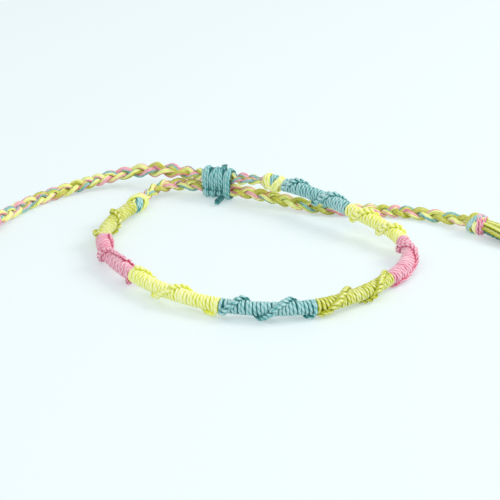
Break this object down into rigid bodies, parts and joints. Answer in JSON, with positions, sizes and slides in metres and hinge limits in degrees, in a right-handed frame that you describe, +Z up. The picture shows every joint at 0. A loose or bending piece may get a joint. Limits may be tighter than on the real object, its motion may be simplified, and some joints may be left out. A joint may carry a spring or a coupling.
{
  "type": "macrame bracelet",
  "caption": "Open adjustable bracelet of cotton floss: a loop wrapped in spiral half hitches in changing colours, two braided ties with knotted fringes and a sliding knot.",
  "frame": {"origin": "on the surface that the bracelet lies on, under the middle of the box round the whole piece", "axes": "+Z up from that surface, +X to the right and +Y away from the viewer of the picture, the ties at the back and running left and right"},
  "size_m": [0.1323, 0.0719, 0.0076],
  "materials": {
    "lemon_thread": "matt cotton floss",
    "olive_thread": "matt cotton floss",
    "pink_thread": "matt cotton floss",
    "teal_thread": "cotton floss with a slight sheen",
    "teal_lemon_thread": "teal and lemon cotton floss laid together",
    "pink_lemon_thread": "pink and lemon cotton floss laid together",
    "mixed_thread": "cotton floss of all the colours, knotted",
    "fringe_thread": "loose cotton floss of all the colours",
    "core_thread": "bundle of cotton floss, hidden by the wrapping"
  },
  "bodies": {
    "root": {"wrap_olive_1": "olive_thread", "wrap_pink_1": "pink_thread", "wrap_lemon_1": "lemon_thread", "wrap_teal_1": "teal_thread", "wrap_olive_2": "olive_thread", "wrap_pink_2": "pink_thread", "wrap_lemon_2": "lemon_thread", "wrap_teal_2": "teal_thread", "core_threads": "core_thread", "band_knot_left": "mixed_thread", "band_knot_right": "mixed_thread", "left_tie_olive": "olive_thread", "left_tie_teal": "teal_lemon_thread", "left_tie_pink": "pink_lemon_thread", "right_tie_olive": "olive_thread", "right_tie_teal": "teal_lemon_thread", "right_tie_pink": "pink_lemon_thread", "slider_knot": "teal_thread", "end_knot_right": "mixed_thread", "end_knot_left": "mixed_thread", "fringe_right": "fringe_thread", "fringe_left": "fringe_thread"}
  },
  "joints": []
}
